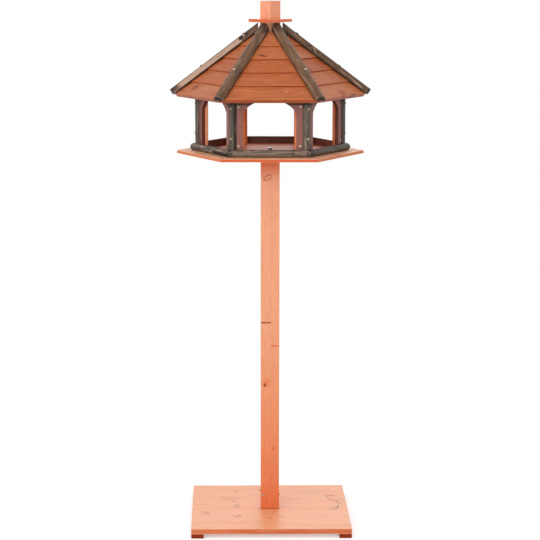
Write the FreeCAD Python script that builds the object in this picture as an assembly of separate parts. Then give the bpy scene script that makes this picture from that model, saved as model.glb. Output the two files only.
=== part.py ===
import FreeCAD, Part
import math
import os

# Free-standing garden bird table: a bolted base and post carry a hexagonal tray, six open
# corners stand on the tray, and a six-sided roof of lapped slats lies on them.
# Millimetres. The origin is the middle of the base on the ground, +Z is up and -Y is the front.

# Base
foot_width = 34.0
foot_thick = 12.0
base_width = 437.0
base_depth = 404.0
base_thick = 15.0

# Post, glued up from two staves, each of two lengths
post_side = 51.0
post_height = 1002.0
left_stave = 28.0
left_joint = 535.0
right_joint = 469.0

# Tray and the half-round rails round it
house_turn = -2.0
tray_radius = 254.5
tray_thick = 8.5
rail_radius = 10.7
rail_planed = 1.5

# Corners of the house: batten, two brackets and a half-round log
log_seat = 193.0
log_radius = 11.5
bracket_thick = 10.5
bracket_width = 29.5
arch_spring = 113.5
arch_rise = 31.5
arch_reach = 42.0
arch_bow = 6.0
batten_width = 45.0
batten_thick = 18.0

# Roof of five lapped slats a side, on six hip rafters under six half-round ridge logs
roof_pitch = 41.0
eave_radius = 262.3
eave_height = 155.3
slat_count = 5
slat_exposure = 49.6
slat_edge = 12.5
slat_taper = 3.0
slat_lap = 8.0
rafter_width = 18.0
rafter_depth = 20.0
rafter_tail = 215.0
ridge_radius = 15.0
ridge_offset = -0.8
ridge_foot = 264.0
ridge_head = 33.0

# King post and cap
king_side = 39.0
king_length = 64.0
plate_side = 83.0
plate_thick = 8.0
block_height = 48.0
peg_diameter = 9.0
peg_length = 58.0
peg_sides = 8

# Fasteners
screw_shank = 3.5
screw_head = 7.6
screw_dome = 1.8
screw_flat = 4.6
head_sides = 8
shank_sides = 6
round_sides = 16
wall_screw = 22.0
log_screw = 28.0
bracket_screw_edge = 12.0
bracket_screw_heights = (28.0, 133.0)
log_screw_heights = (47.5, 127.5)
ridge_screw = 40.0
ridge_screw_radii = (187.5, 73.0)
rail_screw = 20.0
rail_screw_spacing = 110.0
batten_screw = 36.0
foot_screw = 22.0
foot_screw_reach = 150.0
foot_screw_sink = 3.0
toe_screw = 62.0
toe_height = 41.0
toe_inset = 7.5
toe_angle = 35.0
bolt_diameter = 8.0
bolt_length = 75.0
bolt_flats = 13.0
bolt_head = 5.3
bolt_crown = 12.0
washer_diameter = 17.0
washer_thick = 1.6

# Clearances
fit_gap = 0.2
joint_gap = 0.15
bore_gap = 0.15
cap_gap = 0.8

# Heights and places that follow from the sizes above
base_top = foot_thick + base_thick
tray_bottom = base_top + post_height
tray_top = tray_bottom + tray_thick
eave_z = tray_top + eave_height
COS30 = math.cos(math.radians(30.0))
TAN30 = math.tan(math.radians(30.0))
wall_radius = log_seat + log_radius * TAN30
wall_seat = wall_radius * COS30
batten_nose = wall_radius - bracket_thick / COS30
batten_back = batten_nose - batten_thick
rail_seat = log_seat * COS30 + log_radius + fit_gap
eave_seat = eave_radius * COS30
pitch = math.radians(roof_pitch)
king_corner = king_side / math.sqrt(2.0)
slat_top = (eave_seat - king_corner - fit_gap - slat_edge * math.sin(pitch)) / math.cos(pitch)
hip_rise = math.tan(pitch) * COS30
hip_pitch = math.atan(hip_rise)
slat_drop = slat_edge / math.cos(pitch)
rafter_drop = slat_drop + rafter_depth / math.cos(hip_pitch)
ridge_height = ridge_radius + ridge_offset
ridge_crest = ridge_height / math.cos(hip_pitch)
plate_bottom = eave_z + (eave_radius - ridge_head) * hip_rise + ridge_crest + cap_gap
plate_top = plate_bottom + plate_thick
plate_middle = (plate_bottom + plate_top) / 2
BIG = 1200.0

CORNERS = ["right", "back_right", "back_left", "left", "front_left", "front_right"]
PANELS = ["back_right", "back", "back_left", "front_left", "front", "front_right"]
UP = FreeCAD.Vector(0, 0, 1)
DOWN = FreeCAD.Vector(0, 0, -1)


def vec(x, y, z):
    return FreeCAD.Vector(x, y, z)


def turned(shape, angle):
    copy = shape.copy()
    copy.rotate(vec(0, 0, 0), UP, angle)
    return copy


def corner_angle(k):
    return house_turn + 60.0 * k


def panel_angle(k):
    return house_turn + 60.0 * k + 30.0


def block(x0, x1, y0, y1, z0, z1):
    return Part.makeBox(x1 - x0, y1 - y0, z1 - z0, vec(x0, y0, z0))


def closed(points):
    return points + points[:1]


def prism(points, direction):
    return Part.Face(Part.makePolygon(closed(points))).extrude(direction)


def placed(shape, origin, axis):
    """The shape with its own +Z laid along the axis and its own origin at the given point."""
    copy = shape.copy()
    copy.Placement = FreeCAD.Placement(origin, FreeCAD.Rotation(UP, axis))
    return copy


def beyond(point, normal):
    """Everything on the side of a plane that its normal points to."""
    half = block(-BIG, BIG, -BIG, BIG, 0, 2 * BIG)
    return placed(half, point, normal)


def ring_points(sides, radius, z):
    turns = [2 * math.pi * n / sides for n in range(sides)]
    return [vec(radius * math.cos(turn), radius * math.sin(turn), z) for turn in turns]


def many_sided(sides, radius, z0, z1):
    return prism(ring_points(sides, radius, z0), vec(0, 0, z1 - z0))


def sector(gap):
    """The sixth of the house that belongs to the panel facing +X, less a gap at each mitre."""
    start = gap / math.sin(math.radians(30.0))
    points = [vec(start, 0, 0), vec(BIG, -(BIG - start) * TAN30, 0), vec(BIG, (BIG - start) * TAN30, 0)]
    return prism(points, vec(0, 0, 2 * BIG))


def pitch_point(along, out):
    """A point of the panel facing +X: along the slope from the eave, and out from its face."""
    return vec(
        eave_seat - along * math.cos(pitch) + out * math.sin(pitch),
        0,
        eave_z + along * math.sin(pitch) + out * math.cos(pitch),
    )


def hip_point(radius, out):
    """A point over the corner at +X: at a radius on the hip line, and out from that line."""
    return vec(
        radius + out * math.sin(hip_pitch),
        0,
        eave_z + (eave_radius - radius) * hip_rise + out * math.cos(hip_pitch),
    )


panel_normal = vec(math.sin(pitch), 0, math.cos(pitch))
hip_normal = vec(math.sin(hip_pitch), 0, math.cos(hip_pitch))
hip_direction = vec(-math.cos(hip_pitch), 0, math.sin(hip_pitch))


# Fasteners


def screw(length):
    """A wood screw in few faces, driven along its own -Z, with its bevelled head seated at z = 0."""
    rim = ring_points(head_sides, screw_head / 2, 0)
    crown = ring_points(head_sides, screw_flat / 2, screw_dome)
    bevels = [[rim[n - 1], rim[n], crown[n], crown[n - 1]] for n in range(head_sides)]
    faces = [Part.Face(Part.makePolygon(closed(points))) for points in bevels + [rim, crown]]
    head = Part.makeSolid(Part.makeShell(faces))
    return head.fuse(many_sided(shank_sides, screw_shank / 2, -length, 0))


def clear_of(sides, diameter):
    """The radius of a many-sided hole that clears a round of the given diameter."""
    return (diameter / 2 + bore_gap) / math.cos(math.pi / sides)


def screw_hole(length):
    """A hole for a screw of the given length, with room over its seat for the head."""
    shank = many_sided(shank_sides, clear_of(shank_sides, screw_shank), -length - bore_gap, screw_head)
    return shank.fuse(many_sided(head_sides, clear_of(head_sides, screw_head), 0, screw_head))


def bolt_hole(depth):
    """A hole round the shank of a bolt, through everything from the head's seat to the given depth."""
    return many_sided(round_sides, clear_of(round_sides, bolt_diameter), -depth, washer_thick)


def wall_screw_places():
    """Seats of one panel's bracket screws, each with its outward axis and length."""
    reach = wall_radius / 2 - bracket_screw_edge - log_radius * TAN30
    return [(vec(wall_seat, side * reach, tray_top + height), vec(1, 0, 0), wall_screw)
            for side in (-1, 1) for height in bracket_screw_heights]


def log_screw_places():
    crest = log_seat + log_radius
    return [(vec(crest, 0, tray_top + height), vec(1, 0, 0), log_screw) for height in log_screw_heights]


def ridge_screw_places():
    crest = ridge_height + joint_gap
    return [(hip_point(radius - crest * math.sin(hip_pitch), crest), hip_normal, ridge_screw)
            for radius in ridge_screw_radii]


def rail_screw_places():
    across = rail_seat + rail_radius / 2
    return [(vec(across, side * rail_screw_spacing / 2, tray_bottom), DOWN, rail_screw) for side in (-1, 1)]


def batten_screw_places():
    return [(vec(batten_nose - batten_thick / 2, 0, tray_bottom), DOWN, batten_screw)]


def foot_screw_places():
    across = base_width / 2 - foot_width / 2
    return [(vec(side * across, step * foot_screw_reach, foot_screw_sink), DOWN, foot_screw)
            for side in (-1, 1) for step in (-1, 1)]


def toe_screw_places():
    """Four screws driven askew through the foot of the post into the base, one on each face."""
    lean = math.radians(toe_angle)
    seat = vec(-post_side / 2 + toe_inset, -post_side / 2, base_top + toe_height)
    axis = vec(0, -math.sin(lean), math.cos(lean))
    turns = [FreeCAD.Rotation(UP, 90.0 * n) for n in range(4)]
    return [(turn.multVec(seat), turn.multVec(axis), toe_screw) for turn in turns]


def around(places, angle):
    turn = FreeCAD.Rotation(UP, angle)
    return [(turn.multVec(origin), turn.multVec(axis), length) for origin, axis, length in places]


def ring(places, angle):
    """The places of one panel or corner, repeated round all six."""
    return [place for k in range(6) for place in around(places(), angle(k))]


def screws(places):
    return Part.makeCompound([placed(screw(length), origin, axis) for origin, axis, length in places])


def bored(shape, places):
    """The shape with a hole for each of the screws that reach it."""
    box = shape.BoundBox
    box.enlarge(screw_head)
    for origin, axis, length in places:
        tip = origin - axis * length
        reach = FreeCAD.BoundBox(min(origin.x, tip.x), min(origin.y, tip.y), min(origin.z, tip.z),
                                 max(origin.x, tip.x), max(origin.y, tip.y), max(origin.z, tip.z))
        if box.intersect(reach):
            shape = shape.cut(placed(screw_hole(length), origin, axis))
    return shape.removeSplitter()


def hexagon_bolt():
    """A hexagon bolt driven along its own -Z, with its head seated at z = 0."""
    head = many_sided(6, bolt_flats / 2 / COS30, 0, bolt_head)
    cone = Part.makeCone(bolt_crown / 2 + bolt_head, bolt_crown / 2, bolt_head)
    shank = many_sided(round_sides, bolt_diameter / 2, -bolt_length, 0)
    return head.common(cone).fuse(shank).removeSplitter()


def bolt_seats():
    return [(vec(0, 0, tray_top), UP), (vec(0, 0, foot_thick), DOWN)]


def bolts():
    return Part.makeCompound([placed(hexagon_bolt(), origin + axis * washer_thick, axis)
                              for origin, axis in bolt_seats()])


def washers():
    disc = many_sided(round_sides, washer_diameter / 2, 0, washer_thick).cut(bolt_hole(washer_thick))
    return Part.makeCompound([placed(disc, origin, axis) for origin, axis in bolt_seats()])


def bolt_bored(shape):
    for origin, axis in bolt_seats():
        shape = shape.cut(placed(bolt_hole(bolt_length), origin, axis))
    return shape


# Base and post


def base_board():
    board = block(-base_width / 2, base_width / 2, -base_depth / 2, base_depth / 2, foot_thick, base_top)
    return bored(bolt_bored(board), foot_screw_places() + toe_screw_places())


def foot(side):
    inner = side * (base_width / 2 - foot_width)
    outer = side * base_width / 2
    batten = block(min(inner, outer), max(inner, outer), -base_depth / 2, base_depth / 2, 0, foot_thick)
    return bored(batten, foot_screw_places())


def stave(x0, x1, joint):
    """One stave of the post, in two lengths that butt at the joint."""
    lengths = [block(x0, x1, -post_side / 2, post_side / 2, base_top, base_top + joint),
               block(x0, x1, -post_side / 2, post_side / 2, base_top + joint, tray_bottom)]
    return Part.makeCompound([bored(bolt_bored(piece), toe_screw_places()) for piece in lengths])


# Tray


def tray_board():
    board = turned(many_sided(6, tray_radius, tray_bottom, tray_top), house_turn)
    return bored(bolt_bored(board), ring(rail_screw_places, panel_angle) + ring(batten_screw_places, corner_angle))


def tray_rail(k):
    """A half-round rail with its flat inwards and a planed strip to stand on."""
    centre = tray_top + rail_radius - rail_planed
    log = Part.makeCylinder(rail_radius, 2 * BIG, vec(rail_seat, -BIG, centre), vec(0, 1, 0))
    half = log.common(block(rail_seat, BIG, -BIG, BIG, tray_top, 2 * BIG))
    return turned(bored(half.common(sector(joint_gap)), rail_screw_places()), panel_angle(k))


# Corners of the house


def under_slats():
    """The space above the underside of the slats of the panel facing +X."""
    return beyond(pitch_point(0, -slat_edge), panel_normal)


def under_rafter():
    """The space above the underside of the rafter over the corner at +X."""
    point = hip_point(eave_radius, 0) - vec(0, 0, rafter_drop)
    return beyond(point, hip_normal)


def rafter_space():
    """Room for the rafter over the corner at +X, with its clearance."""
    slot = block(0, BIG, -rafter_width / 2 - fit_gap, rafter_width / 2 + fit_gap, 0, 2 * BIG)
    point = hip_point(eave_radius, 0) - vec(0, 0, rafter_drop)
    return slot.common(beyond(point, hip_normal))


def corner_batten(k):
    """The five-sided batten that both brackets and the log of one corner are screwed to."""
    half = batten_width / 2
    shoulder = batten_nose - half * TAN30
    outline = [vec(batten_nose, 0, tray_top), vec(shoulder, half, tray_top), vec(batten_back, half, tray_top),
               vec(batten_back, -half, tray_top), vec(shoulder, -half, tray_top)]
    batten = prism(outline, vec(0, 0, BIG)).cut(under_rafter())
    places = around(wall_screw_places(), 30.0) + around(wall_screw_places(), -30.0)
    return turned(bored(batten, places + log_screw_places() + batten_screw_places()), corner_angle(k))


def corner_log(k):
    round_log = Part.makeCylinder(log_radius, BIG, vec(log_seat, 0, tray_top))
    half = round_log.common(block(log_seat, BIG, -BIG, BIG, 0, 2 * BIG)).cut(under_rafter())
    return turned(bored(half, log_screw_places()), corner_angle(k))


def arch_outline(side):
    """Outline of a bracket on its outer face: a straight leg, a hollow shoulder and a square end."""
    def at(width, height):
        return vec(wall_seat, side * (wall_radius / 2 - width), tray_top + height)

    spring = at(bracket_width, arch_spring)
    end = at(bracket_width + arch_reach, arch_spring + arch_rise)
    slope = math.atan2(arch_rise, arch_reach)
    middle = at(bracket_width + arch_reach / 2 - arch_bow * math.sin(slope),
                arch_spring + arch_rise / 2 + arch_bow * math.cos(slope))
    top = eave_height
    edges = [Part.makeLine(at(0, 0), at(bracket_width, 0)),
             Part.makeLine(at(bracket_width, 0), spring),
             Part.Arc(spring, middle, end).toShape(),
             Part.makeLine(end, at(bracket_width + arch_reach, top)),
             Part.makeLine(at(bracket_width + arch_reach, top), at(0, top)),
             Part.makeLine(at(0, top), at(0, 0))]
    return Part.Wire(edges)


def bracket(k, side):
    """One bracket of panel k, mitred at the corner and planed there to seat the log."""
    board = Part.Face(arch_outline(side)).extrude(vec(-bracket_thick, 0, 0))
    corner = side * 30.0
    outward = vec(math.cos(math.radians(corner)), math.sin(math.radians(corner)), 0)
    board = board.common(sector(joint_gap)).cut(beyond(outward * log_seat, outward))
    board = board.cut(under_slats()).cut(turned(rafter_space(), corner))
    places = wall_screw_places() + around(log_screw_places(), corner)
    return turned(bored(board, places), panel_angle(k))


# Roof


def slat_outline(n):
    """Section of slat n up the slope: a tapered board, rebated over the one below it."""
    start = n * slat_exposure
    last = n == slat_count - 1
    end = slat_top if last else start + slat_exposure + slat_lap
    fall = slat_taper / slat_exposure
    rebate = start + slat_lap + fit_gap
    outline = [pitch_point(start, 0), pitch_point(end, -fall * (end - start)), pitch_point(end, -slat_edge)]
    if n == 0:
        return outline + [pitch_point(start, -slat_edge)]
    return outline + [pitch_point(rebate, -slat_edge),
                      pitch_point(rebate, -fall * (rebate - start) - slat_taper + fit_gap),
                      pitch_point(start, -slat_taper + fit_gap)]


def roof_slats(k):
    """The lapped slats of one panel, cut to the hips at both ends."""
    places = around(ridge_screw_places(), 30.0) + around(ridge_screw_places(), -30.0)
    slats = []
    for n in range(slat_count):
        points = [point - vec(0, BIG / 2, 0) for point in slat_outline(n)]
        board = prism(points, vec(0, BIG, 0)).common(sector(joint_gap))
        slats.append(bored(board, places))
    return turned(Part.makeCompound(slats), panel_angle(k))


def king_space(gap):
    half = king_side / 2 + gap
    return turned(block(-half, half, -half, half, 0, 2 * BIG), 45.0)


def hip_rafter(k):
    """A rafter under one hip, backed to the two panels and cut to the king post."""
    upper, lower = hip_point(0, 0), hip_point(rafter_tail, 0)
    outline = [upper, lower, lower - vec(0, 0, rafter_drop), upper - vec(0, 0, rafter_drop)]
    bar = prism([point - vec(0, rafter_width / 2, 0) for point in outline], vec(0, rafter_width, 0))
    for side in (-30.0, 30.0):
        bar = bar.cut(turned(under_slats(), side))
    bar = bored(bar, ridge_screw_places())
    return turned(bar, corner_angle(k)).cut(turned(king_space(fit_gap), house_turn))


def ridge_log(k):
    """A half-round log over one hip, square at its foot and plumb at its head."""
    centre = hip_point(0, ridge_offset + joint_gap)
    log = Part.makeCylinder(ridge_radius, BIG, centre - hip_direction * BIG / 2, hip_direction)
    log = log.common(beyond(hip_point(0, joint_gap), hip_normal))
    log = log.cut(beyond(hip_point(ridge_foot, 0), -hip_direction))
    log = log.common(block(ridge_head, BIG, -BIG, BIG, 0, 2 * BIG))
    return turned(bored(log, ridge_screw_places()), corner_angle(k))


def squared(side, z0, z1):
    """A square stick or plate on the axis, with one corner to the front."""
    return turned(block(-side / 2, side / 2, -side / 2, side / 2, z0, z1), house_turn + 45.0)


def peg_hole():
    reach = peg_length / 2 + bore_gap
    return many_sided(peg_sides, clear_of(peg_sides, peg_diameter), plate_middle - reach, plate_middle + reach)


def cap_peg():
    return many_sided(peg_sides, peg_diameter / 2, plate_middle - peg_length / 2, plate_middle + peg_length / 2)


def king_post():
    return squared(king_side, plate_bottom - king_length, plate_bottom).cut(peg_hole())


def cap_plate():
    return squared(plate_side, plate_bottom, plate_top).cut(peg_hole())


def cap_block():
    return squared(king_side, plate_top, plate_top + block_height).cut(peg_hole())


def pieces():
    left, middle, right = -post_side / 2, left_stave - post_side / 2, post_side / 2
    made = {
        "base_board": base_board(),
        "foot_left": foot(-1),
        "foot_right": foot(1),
        "foot_screws": screws(foot_screw_places()),
        "post_stave_left": stave(left, middle, left_joint),
        "post_stave_right": stave(middle, right, right_joint),
        "post_toe_screws": screws(toe_screw_places()),
        "post_bolts": bolts(),
        "bolt_washers": washers(),
        "tray_board": tray_board(),
        "tray_screws": screws(ring(rail_screw_places, panel_angle) + ring(batten_screw_places, corner_angle)),
        "wall_screws": screws(ring(wall_screw_places, panel_angle) + ring(log_screw_places, corner_angle)),
        "ridge_screws": screws(ring(ridge_screw_places, corner_angle)),
        "hip_rafters": Part.makeCompound([hip_rafter(k) for k in range(6)]),
        "king_post": king_post(),
        "cap_plate": cap_plate(),
        "cap_block": cap_block(),
        "cap_peg": cap_peg(),
    }
    for k in range(6):
        made["tray_rail_" + PANELS[k]] = tray_rail(k)
        made["bracket_" + PANELS[k] + "_wall_right"] = bracket(k, -1)
        made["bracket_" + PANELS[k] + "_wall_left"] = bracket(k, 1)
        made["roof_slats_" + PANELS[k]] = roof_slats(k)
        made["corner_batten_" + CORNERS[k]] = corner_batten(k)
        made["corner_log_" + CORNERS[k]] = corner_log(k)
        made["ridge_log_" + CORNERS[k]] = ridge_log(k)
    return made


os.makedirs("parts", exist_ok=True)
for name, shape in pieces().items():
    shape.exportStep("parts/" + name + ".step")
    print(name, "solids", len(shape.Solids), "valid", shape.isValid(), "volume", round(shape.Volume))
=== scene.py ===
import random
from math import asin, atan, atan2, cos, exp, hypot, pi, radians, sin, sqrt, tan

import bmesh
import bpy
from mathutils import Matrix, Vector, noise

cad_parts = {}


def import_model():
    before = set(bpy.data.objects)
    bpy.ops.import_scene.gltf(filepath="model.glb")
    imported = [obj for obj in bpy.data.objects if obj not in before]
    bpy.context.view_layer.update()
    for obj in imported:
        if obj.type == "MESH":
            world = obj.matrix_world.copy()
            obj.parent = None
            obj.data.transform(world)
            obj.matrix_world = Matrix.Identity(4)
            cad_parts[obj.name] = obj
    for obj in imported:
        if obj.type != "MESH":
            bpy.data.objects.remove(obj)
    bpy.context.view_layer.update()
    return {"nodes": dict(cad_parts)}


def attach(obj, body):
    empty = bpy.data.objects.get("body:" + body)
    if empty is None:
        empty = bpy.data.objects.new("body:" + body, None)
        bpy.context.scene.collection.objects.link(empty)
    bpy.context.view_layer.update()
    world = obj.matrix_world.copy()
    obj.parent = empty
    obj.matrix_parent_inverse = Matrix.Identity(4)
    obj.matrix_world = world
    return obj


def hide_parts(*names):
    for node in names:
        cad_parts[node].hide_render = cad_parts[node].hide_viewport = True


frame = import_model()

# Looks of the bird table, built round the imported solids. Lengths are millimetres until a mesh
# is made; every board carries its own grain coordinates: X along the grain, Z out of its face.

MM = 0.001
scene = bpy.context.scene

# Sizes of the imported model
BASE_WIDTH, BASE_DEPTH, BASE_THICK = 437, 404, 15
FOOT_WIDTH, FOOT_THICK = 34, 12
POST_SIDE, POST_HEIGHT, LEFT_STAVE = 51, 1002, 28
LEFT_JOINT, RIGHT_JOINT = 535, 469
HOUSE_TURN = -2
TRAY_RADIUS, TRAY_THICK = 254.5, 8.5
RAIL_RADIUS, RAIL_PLANED = 10.7, 1.5
LOG_SEAT, LOG_RADIUS = 193, 11.5
BRACKET_THICK, BRACKET_WIDTH = 10.5, 29.5
ARCH_SPRING, ARCH_RISE, ARCH_REACH, ARCH_BOW = 113.5, 31.5, 42, 6
BATTEN_WIDTH, BATTEN_THICK = 45, 18
PITCH = radians(41)
EAVE_RADIUS, EAVE_HEIGHT = 262.3, 155.3
SLAT_COUNT, SLAT_EXPOSURE, SLAT_EDGE, SLAT_TAPER, SLAT_LAP = 5, 49.6, 12.5, 3, 8
RAFTER_WIDTH, RAFTER_DEPTH, RAFTER_TAIL = 18, 20, 215
RIDGE_RADIUS, RIDGE_OFFSET, RIDGE_FOOT, RIDGE_HEAD = 15, -0.8, 264, 33
KING_SIDE, KING_LENGTH = 39, 64
PLATE_SIDE, PLATE_THICK, BLOCK_HEIGHT = 83, 8, 48
SCREW_HEAD, SCREW_DOME, SCREW_SHANK = 7.6, 1.8, 3.5
WALL_SCREW, LOG_SCREW, RIDGE_SCREW, RAIL_SCREW = 22, 28, 40, 20
BATTEN_SCREW, FOOT_SCREW, TOE_SCREW = 36, 22, 62
BRACKET_SCREW_EDGE, BRACKET_SCREW_HEIGHTS = 12, (28, 133)
LOG_SCREW_HEIGHTS, RIDGE_SCREW_RADII = (47.5, 127.5), (187.5, 73)
RAIL_SCREW_SPACING, FOOT_SCREW_REACH, FOOT_SCREW_SINK = 110, 150, 3
TOE_HEIGHT, TOE_INSET, TOE_ANGLE = 41, 7.5, 35
BOLT_FLATS, BOLT_HEAD, BOLT_CROWN, BOLT_DIAMETER, BOLT_LENGTH = 13, 5.3, 12, 8, 75
WASHER_DIAMETER, WASHER_THICK = 17, 1.6
FIT_GAP, JOINT_GAP, CAP_GAP = 0.2, 0.15, 0.8

# What follows from them
SIN30, COS30, TAN30 = 0.5, cos(radians(30)), tan(radians(30))
BASE_TOP = FOOT_THICK + BASE_THICK
TRAY_BOTTOM = BASE_TOP + POST_HEIGHT
TRAY_TOP = TRAY_BOTTOM + TRAY_THICK
EAVE_Z = TRAY_TOP + EAVE_HEIGHT
WALL_RADIUS = LOG_SEAT + LOG_RADIUS * TAN30
WALL_SEAT = WALL_RADIUS * COS30
BATTEN_NOSE = WALL_RADIUS - BRACKET_THICK / COS30
RAIL_SEAT = LOG_SEAT * COS30 + LOG_RADIUS + FIT_GAP
EAVE_SEAT = EAVE_RADIUS * COS30
KING_CORNER = KING_SIDE / sqrt(2)
SLAT_TOP = (EAVE_SEAT - KING_CORNER - FIT_GAP - SLAT_EDGE * sin(PITCH)) / cos(PITCH)
HIP_RISE = tan(PITCH) * COS30
HIP_PITCH = atan(HIP_RISE)
HIP_COS, HIP_SIN = cos(HIP_PITCH), sin(HIP_PITCH)
RAFTER_DROP = SLAT_EDGE / cos(PITCH) + RAFTER_DEPTH / HIP_COS
RIDGE_HEIGHT = RIDGE_RADIUS + RIDGE_OFFSET
PLATE_BOTTOM = EAVE_Z + (EAVE_RADIUS - RIDGE_HEAD) * HIP_RISE + RIDGE_HEIGHT / HIP_COS + CAP_GAP
PLATE_TOP = PLATE_BOTTOM + PLATE_THICK
RAIL_FLOOR = RAIL_PLANED - RAIL_RADIUS
FOOT_PLACE = (BASE_WIDTH - FOOT_WIDTH) / 2

CORNERS = ["right", "back_right", "back_left", "left", "front_left", "front_right"]
PANELS = ["back_right", "back", "back_left", "front_left", "front", "front_right"]
X, Y, UP = Vector((1, 0, 0)), Vector((0, 1, 0)), Vector((0, 0, 1))
PANEL_NORMAL = Vector((sin(PITCH), 0, cos(PITCH)))
DOWN_SLOPE = Vector((cos(PITCH), 0, -sin(PITCH)))
HIP_NORMAL = Vector((HIP_SIN, 0, HIP_COS))
HIP_UP = Vector((-HIP_COS, 0, HIP_SIN))


def turn(angle, axis="Z"):
    """A turn by an angle in degrees."""
    return Matrix.Rotation(radians(angle), 4, axis)


def aside(side):
    """The turn from a panel's middle to its corner on one side."""
    return turn(30 * side)


def corner_turn(k):
    return turn(HOUSE_TURN + 60 * k)


def panel_turn(k):
    return corner_turn(k + 0.5)


def laid(origin, along, out):
    """The place of a board: its X along the grain and its Z out of its face."""
    z = (out - along * out.dot(along)).normalized()
    place = Matrix((along, z.cross(along), z)).transposed().to_4x4()
    place.translation = origin
    return place


def pitch_point(along, out):
    """A point of the panel facing +X: along the slope from the eave, and out from its face."""
    return Vector((EAVE_SEAT, 0, EAVE_Z)) - DOWN_SLOPE * along + PANEL_NORMAL * out


def hip_point(radius, out):
    """A point over the corner at +X: at a radius on the hip line, and out from that line."""
    return Vector((radius, 0, EAVE_Z + (EAVE_RADIUS - radius) * HIP_RISE)) + HIP_NORMAL * out


# Meshes

# Kinds of face. Worn faces take the pale rubbed colour: real wear on eased edges, and a painted highlight on
# the roof's rounded lap edges.
PLAIN, WEAR_AND_HIGHLIGHT, RIM = 0, 1, 2
RIM_SHARE = 0.35
GRAIN_SHIFT = 733
ANY_STAIN = -9
NO_FLOOR = -100


def outward(board):
    """The board, with all its faces turned outwards."""
    bmesh.ops.recalc_face_normals(board, faces=board.faces)
    return board


def linked(name, data):
    """A new object in the scene."""
    thing = bpy.data.objects.new(name, data)
    scene.collection.objects.link(thing)
    return thing


class Piece:
    """One object, gathered from boards that each keep their own grain coordinates."""

    def __init__(self, name, material, slot):
        self.name, self.material, self.slot = name, material, slot
        self.verts, self.faces, self.grain, self.finish_and_painted_light = [], [], [], []

    def add(self, board, place, seed=0, stain=0, edges=ANY_STAIN, across=0.75):
        """Takes a board in its own coordinates.

        The seed moves its grain. The stain deepens its colour, or pales it below nought, and is a
        number or a function of the place on the board; besides real stain it carries the painted shade
        and light that callers give. Sawn edges take at least that of edges, a number or a function of
        their normal. A face is end grain where its normal's x is past across.
        """
        first = len(self.verts)
        outward(board).verts.index_update()
        kinds = board.faces.layers.int.get("kind")
        shift = Vector((seed * GRAIN_SHIFT, 0, 0))
        self.verts += [(place @ v.co) * MM for v in board.verts]
        for face in board.faces:
            self.faces.append([first + v.index for v in face.verts])
            kind = face[kinds] if kinds else PLAIN
            end = (RIM_SHARE if kind == RIM else 1) if abs(face.normal.x) > across else 0
            least = edges(face.normal) if callable(edges) else edges
            least = least if abs(face.normal.z) < 0.3 else ANY_STAIN
            for v in face.verts:
                self.grain.append(v.co + shift)
                depth = stain(v.co) if callable(stain) else stain
                self.finish_and_painted_light.append((float(kind == WEAR_AND_HIGHLIGHT), end, max(depth, least)))
        board.free()

    def finish_up(self, smooth=50):
        mesh = bpy.data.meshes.new(self.name)
        mesh.from_pydata(self.verts, [], self.faces, shade_flat=False)
        for name, values in (("grain", self.grain), ("finish_and_painted_light", self.finish_and_painted_light)):
            layer = mesh.attributes.new(name, "FLOAT_VECTOR", "CORNER")
            layer.data.foreach_set("vector", [part for value in values for part in value])
        mesh.set_sharp_from_angle(angle=radians(smooth))
        mesh.materials.append(self.material)
        mesh.validate()
        piece = linked(self.name, mesh)
        piece.modifiers.new("normals", "WEIGHTED_NORMAL").keep_sharp = True
        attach(piece, "root")
        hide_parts(self.name)


def single(name, material, slot, board, *rest, **finish_and_painted_light):
    """A piece of one board."""
    piece = Piece(name, material, slot)
    piece.add(board, *rest, **finish_and_painted_light)
    piece.finish_up()


def joined(board, a, b):
    """The faces between two rings of points, of which one may be a point repeated."""
    return [board.faces.new(tuple(dict.fromkeys((a[n - 1], a[n], b[n], b[n - 1])))) for n in range(len(a))]


def prism(outline, along):
    board = bmesh.new()
    lower, upper = ([board.verts.new(Vector(point) + Vector(shift)) for point in outline]
                    for shift in ((0, 0, 0), along))
    board.faces.new(lower)
    board.faces.new(upper)
    joined(board, lower, upper)
    return outward(board)


def bar(x0, x1, y0, y1, z0, z1):
    return prism([(x0, y0, z0), (x0, y1, z0), (x0, y1, z1), (x0, y0, z1)], (x1 - x0, 0, 0))


def slab(long, wide, low, high):
    """A bar centred on Z, by its sizes along X and Y and its two heights."""
    return bar(-long / 2, long / 2, -wide / 2, wide / 2, low, high)


def parts(board):
    return board.verts[:] + board.edges[:] + board.faces[:]


def sawn(board, place, point, normal):
    """Saws off what lies beyond a plane given in the house's coordinates."""
    back = place.inverted()
    cut = bmesh.ops.bisect_plane(board, geom=parts(board), plane_co=back @ point,
                                 plane_no=back.to_3x3() @ normal, clear_outer=True)["geom_cut"]
    edges = [e for e in cut if isinstance(e, bmesh.types.BMEdge)]
    if edges:
        bmesh.ops.contextual_create(board, geom=edges)
    return board


def mitred(board, place):
    """Saws a board of the panel round +X to the two upright planes that bound its sixth."""
    for side in (-1, 1):
        sawn(board, place, X * JOINT_GAP / SIN30, aside(side) @ Y * side)
    return board


def rounded(board, edges, width, segments, profile=0.5, kind=WEAR_AND_HIGHLIGHT):
    """Rounds some edges and marks the new narrow faces."""
    kinds = board.faces.layers.int.get("kind") or board.faces.layers.int.new("kind")
    made = bmesh.ops.bevel(board, geom=edges, offset=width, segments=segments, profile=profile,
                           affect="EDGES", clamp_overlap=True)
    for face in made["faces"]:
        face[kinds] = kind
    return board


def eased(board, width=0.9, segments=2):
    """Rounds all sharp edges."""
    sharp = [e for e in outward(board).edges if e.is_manifold and e.calc_face_angle() > radians(25)]
    return rounded(board, sharp, width, segments, 0.55)


def scored(board, along, reaches):
    """Divides faces at reaches along a direction, so that the stain can change there."""
    for reach in reaches:
        bmesh.ops.bisect_plane(board, geom=parts(board), plane_co=along * reach, plane_no=along)
    return board


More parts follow.
